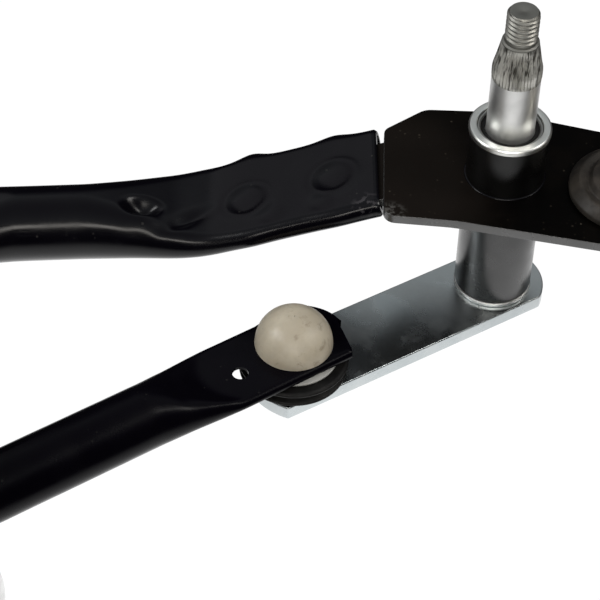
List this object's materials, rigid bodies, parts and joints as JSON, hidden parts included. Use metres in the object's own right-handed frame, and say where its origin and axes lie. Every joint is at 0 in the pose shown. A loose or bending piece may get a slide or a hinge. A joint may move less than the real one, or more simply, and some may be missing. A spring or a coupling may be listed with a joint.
{
  "type": "windshield wiper assembly",
  "caption": "Tubular frame with two pivot bearings, a gear motor, a two-ended crank and two pressed-tube drive links that swing a pair of splined wiper shafts.",
  "frame": {"origin": "centre of the right-hand fixing bore, level with the top face of the bracket plates", "axes": "+Z along the parallel pivot axes towards the wiper arms; +X across the car towards the right-hand end; +Y towards the windshield"},
  "size_m": [0.6326, 0.2107, 0.1034],
  "materials": {
    "frame_tube": "gloss black electrocoat",
    "bracket": "satin black electrocoat",
    "housing": "satin black oxide",
    "link_tube": "semi-gloss black paint",
    "machined_steel": "turned, satin",
    "spring_steel": "blackened",
    "zinc_plate": "bright zinc plating",
    "bronze": "sintered",
    "rubber": "matte",
    "nylon": "natural nylon, slightly soiled",
    "die_cast": "as cast",
    "can_steel": "zinc plated, drawn",
    "cover_plastic": "moulded",
    "gear_plastic": "moulded acetal",
    "ferrite": "ground"
  },
  "bodies": {
    "frame": {"brush_holder": "cover_plastic", "can_screws": "zinc_plate", "connector": "cover_plastic", "cover_screws": "zinc_plate", "frame_tube_left": "frame_tube", "frame_tube_right": "frame_tube", "gear_cover": "cover_plastic", "gear_housing": "die_cast", "grommet_left": "rubber", "grommet_motor": "rubber", "grommet_right": "rubber", "grommet_sleeve_left": "zinc_plate", "grommet_sleeve_motor": "zinc_plate", "grommet_sleeve_right": "zinc_plate", "lower_bush_left": "bronze", "lower_bush_right": "bronze", "magnets": "ferrite", "motor_bracket": "bracket", "motor_can": "can_steel", "motor_screws": "zinc_plate", "output_bush": "bronze", "pivot_housing_left": "housing", "pivot_housing_right": "housing", "pivot_plate_left": "bracket", "pivot_plate_right": "bracket", "seal_ring_left": "rubber", "seal_ring_right": "rubber", "top_ring_left": "machined_steel", "top_ring_right": "machined_steel", "upper_bush_left": "bronze", "upper_bush_right": "bronze"},
    "motor_crank": {"output_shaft": "machined_steel", "worm_wheel": "gear_plastic", "motor_crank": "zinc_plate", "crank_nut": "zinc_plate", "crank_ball_stud_right": "machined_steel", "crank_ball_stud_left": "machined_steel"},
    "armature": {"armature": "machined_steel"},
    "right_shaft": {"pivot_shaft_right": "machined_steel", "crank_arm_right": "zinc_plate", "arm_ball_stud_right": "machined_steel", "retaining_ring_right": "spring_steel", "thrust_washer_right": "machined_steel"},
    "left_shaft": {"pivot_shaft_left": "machined_steel", "crank_arm_left": "zinc_plate", "arm_ball_stud_left": "machined_steel", "retaining_ring_left": "spring_steel", "thrust_washer_left": "machined_steel"},
    "right_link": {"link_tube_right": "link_tube", "outer_socket_right": "nylon", "outer_boot_right": "rubber", "inner_socket_right": "nylon", "inner_boot_right": "rubber"},
    "left_link": {"link_tube_left": "link_tube", "outer_socket_left": "nylon", "outer_boot_left": "rubber", "inner_socket_left": "nylon", "inner_boot_left": "rubber"}
  },
  "joints": [
    {"name": "motor_turn", "type": "hinge", "parent": "frame", "child": "motor_crank", "pos_m": [-0.271, -0.0695, -0.0397], "axis": [0, 0, 1], "range_deg": [0, 95]},
    {"name": "armature_spin", "type": "hinge", "parent": "frame", "child": "armature", "pos_m": [-0.24232, -0.04709, 0.0165], "axis": [0.6157, -0.788, 0], "range_deg": [0, 5700]},
    {"name": "right_pivot_turn", "type": "hinge", "parent": "frame", "child": "right_shaft", "pos_m": [-0.031, 0.0055, 0], "axis": [0, 0, 1], "range_deg": [0, 95]},
    {"name": "right_link_swing", "type": "hinge", "parent": "right_shaft", "child": "right_link", "pos_m": [-0.08204, -0.0279, -0.0287], "axis": [0, 0, 1], "range_deg": [-95, 0]},
    {"name": "left_pivot_turn", "type": "hinge", "parent": "frame", "child": "left_shaft", "pos_m": [-0.561, -0.0095, 0], "axis": [0, 0, 1], "range_deg": [0, 95]},
    {"name": "left_link_swing", "type": "hinge", "parent": "left_shaft", "child": "left_link", "pos_m": [-0.50996, 0.0239, -0.0287], "axis": [0, 0, 1], "range_deg": [-95, 0]}
  ],
  "couplings": [
    {"joint": "armature_spin", "follows": "motor_turn", "ratio": 60},
    {"joint": "right_pivot_turn", "follows": "motor_turn", "ratio": 1},
    {"joint": "right_link_swing", "follows": "motor_turn", "ratio": -1},
    {"joint": "left_pivot_turn", "follows": "motor_turn", "ratio": 1},
    {"joint": "left_link_swing", "follows": "motor_turn", "ratio": -1}
  ]
}
